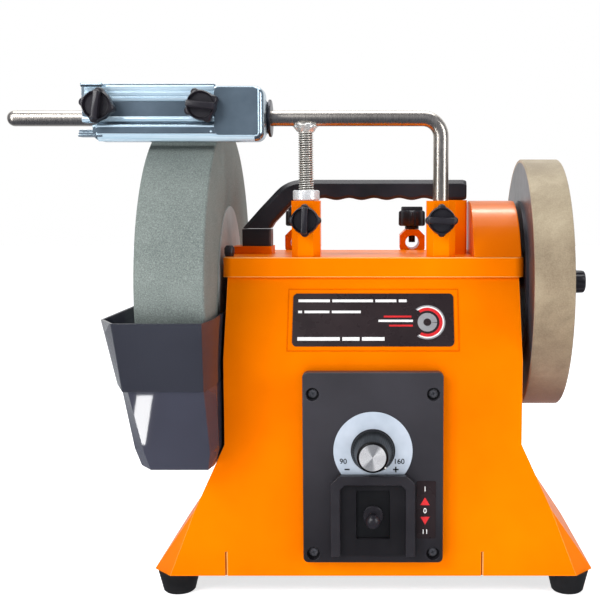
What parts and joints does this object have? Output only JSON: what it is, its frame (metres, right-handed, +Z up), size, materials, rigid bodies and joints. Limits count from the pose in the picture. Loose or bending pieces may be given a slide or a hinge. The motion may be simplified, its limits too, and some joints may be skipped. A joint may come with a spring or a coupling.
{
  "type": "wet grinding sharpener",
  "caption": "Bench wet sharpener: water-cooled grindstone and leather honing wheel on one friction-driven spindle, sheet-metal body, tool-support bar with sliding jig.",
  "frame": {"origin": "on the bench, under the middle of the whole machine's bounding box", "axes": "+X along the spindle from the stone to the leather wheel, +Y from the control panel to the rear, +Z up"},
  "size_m": [0.4549, 0.272, 0.389],
  "materials": {
    "orange_paint": "gloss powder coat",
    "panel_plastic": "fine satin texture",
    "black_plastic": "satin moulded",
    "foot_rubber": "matte moulded",
    "stone_grit": "fine speckled aluminium oxide",
    "label_film": "printed satin film",
    "leather": "suede honing leather",
    "wheel_core": "moulded",
    "bright_steel": "nickel plated",
    "zinc_plate": "blue zinc plated, bright",
    "satin_steel": "satin knurled",
    "cap_aluminium": "spun",
    "bearing_steel": "ground",
    "motor_steel": "satin",
    "cast_housing": "cast",
    "drive_rubber": "ribbed",
    "screw_steel": "dark zinc",
    "smoke_plastic": "smoke translucent",
    "trough_black": "high gloss",
    "plate_print": "printed plate",
    "circuit_board": "solder mask"
  },
  "bodies": {
    "base": {"body_shell": "orange_paint", "base_plate": "motor_steel", "top_plate": "orange_paint", "rubber_feet": "foot_rubber", "foot_screws": "screw_steel", "spindle_bearings": "bearing_steel", "bearing_housings": "cast_housing", "motor_housing": "motor_steel", "motor_end_bells": "cast_housing", "motor_bracket": "motor_steel", "support_posts": "orange_paint", "sleeve_bracket": "orange_paint", "rear_sleeves": "orange_paint", "control_panel": "panel_plastic", "panel_screws": "screw_steel", "switch_guard": "panel_plastic", "dial_scale": "label_film", "switch_label": "plate_print", "potentiometer": "cast_housing", "toggle_switch": "black_plastic", "speed_controller": "circuit_board", "nameplate": "plate_print", "drive_cover": "orange_paint", "handle_grip": "black_plastic", "handle_end_block": "black_plastic", "handle_mounts": "orange_paint", "body_screws": "screw_steel", "cable_gland": "black_plastic", "trough_hooks": "orange_paint", "edge_plug": "black_plastic"},
    "trough": {"trough_guard": "smoke_plastic", "trough_bin": "trough_black"},
    "spindle": {"spindle_shaft": "bright_steel", "grinding_stone": "stone_grit", "stone_label": "label_film", "stone_clamp_set": "screw_steel", "leather_wheel_core": "wheel_core", "leather_band": "leather", "leather_wheel_disc": "black_plastic", "leather_wheel_nut": "black_plastic", "drive_wheel": "black_plastic", "drive_tyre": "drive_rubber"},
    "motor_rotor": {"motor_armature": "bearing_steel", "drive_roller": "satin_steel"},
    "speed_dial": {"speed_knob": "black_plastic", "speed_knob_cap": "cap_aluminium"},
    "toggle": {"toggle_lever": "black_plastic"},
    "left_post_clamp": {"post_knob_left": "black_plastic"},
    "right_post_clamp": {"post_knob_right": "black_plastic"},
    "left_rear_clamp": {"rear_knob_left": "black_plastic"},
    "right_rear_clamp": {"rear_knob_right": "black_plastic"},
    "height_nut": {"adjusting_nut": "satin_steel"},
    "bar": {"support_bar": "bright_steel", "threaded_leg": "bright_steel"},
    "jig_slider": {"jig_bush": "screw_steel"},
    "jig_frame": {"jig_tray": "zinc_plate", "jig_jaw_plate": "zinc_plate"},
    "jig_clamp": {"jig_clamp_plate": "zinc_plate"},
    "left_jig_screw": {"jig_knob_left": "black_plastic"},
    "right_jig_screw": {"jig_knob_right": "black_plastic"}
  },
  "joints": [
    {"name": "spindle_spin", "type": "hinge", "parent": "base", "child": "spindle", "pos_m": [0.0545, 0.004, 0.2355], "axis": [1, 0, 0], "continuous": true},
    {"name": "motor_spin", "type": "hinge", "parent": "base", "child": "motor_rotor", "pos_m": [0.0545, 0.004, 0.1702], "axis": [1, 0, 0], "continuous": true},
    {"name": "speed_turn", "type": "hinge", "parent": "base", "child": "speed_dial", "pos_m": [0.0545, -0.092, 0.1165], "axis": [0, -1, 0], "range_deg": [0, 300]},
    {"name": "toggle_tilt", "type": "hinge", "parent": "base", "child": "toggle", "pos_m": [0.0545, -0.084, 0.067], "axis": [-1, 0, 0], "range_deg": [-12, 12]},
    {"name": "left_post_clamp_turn", "type": "hinge", "parent": "base", "child": "left_post_clamp", "pos_m": [0.0025, -0.0553, 0.287], "axis": [0, -1, 0], "range_deg": [0, 360]},
    {"name": "right_post_clamp_turn", "type": "hinge", "parent": "base", "child": "right_post_clamp", "pos_m": [0.1065, -0.0553, 0.287], "axis": [0, -1, 0], "range_deg": [0, 360]},
    {"name": "left_rear_clamp_turn", "type": "hinge", "parent": "base", "child": "left_rear_clamp", "pos_m": [-0.014, 0.084, 0.2768], "axis": [0, 0, 1], "range_deg": [0, 360]},
    {"name": "right_rear_clamp_turn", "type": "hinge", "parent": "base", "child": "right_rear_clamp", "pos_m": [0.0875, 0.084, 0.2768], "axis": [0, 0, 1], "range_deg": [0, 360]},
    {"name": "nut_turn", "type": "hinge", "parent": "base", "child": "height_nut", "pos_m": [0.0025, -0.044, 0.3021], "axis": [0, 0, 1], "range_deg": [0, 5143.86]},
    {"name": "bar_lift", "type": "slide", "parent": "base", "child": "bar", "axis": [0, 0, 1], "range_m": [0, 0.025]},
    {"name": "jig_slide", "type": "slide", "parent": "bar", "child": "jig_slider", "axis": [1, 0, 0], "range_m": [-0.038, 0.012]},
    {"name": "jig_tilt", "type": "hinge", "parent": "jig_slider", "child": "jig_frame", "pos_m": [-0.0335, -0.044, 0.365], "axis": [-1, 0, 0], "range_deg": [0, 60]},
    {"name": "jig_clamp_slide", "type": "slide", "parent": "jig_frame", "child": "jig_clamp", "axis": [0, -1, 0], "range_m": [0, 0.005]},
    {"name": "left_jig_screw_turn", "type": "hinge", "parent": "jig_frame", "child": "left_jig_screw", "pos_m": [-0.147, -0.075, 0.3715], "axis": [0, -1, 0], "range_deg": [0, 360]},
    {"name": "right_jig_screw_turn", "type": "hinge", "parent": "jig_frame", "child": "right_jig_screw", "pos_m": [-0.0709, -0.075, 0.3715], "axis": [0, -1, 0], "range_deg": [0, 360]},
    {"name": "trough_unhook", "type": "slide", "parent": "base", "child": "trough", "axis": [0, 0, 1], "range_m": [0, 0.0025]}
  ],
  "couplings": [
    {"joint": "motor_spin", "follows": "spindle_spin", "ratio": -7.125},
    {"joint": "nut_turn", "follows": "bar_lift", "rad_per_m": 3590.4}
  ]
}
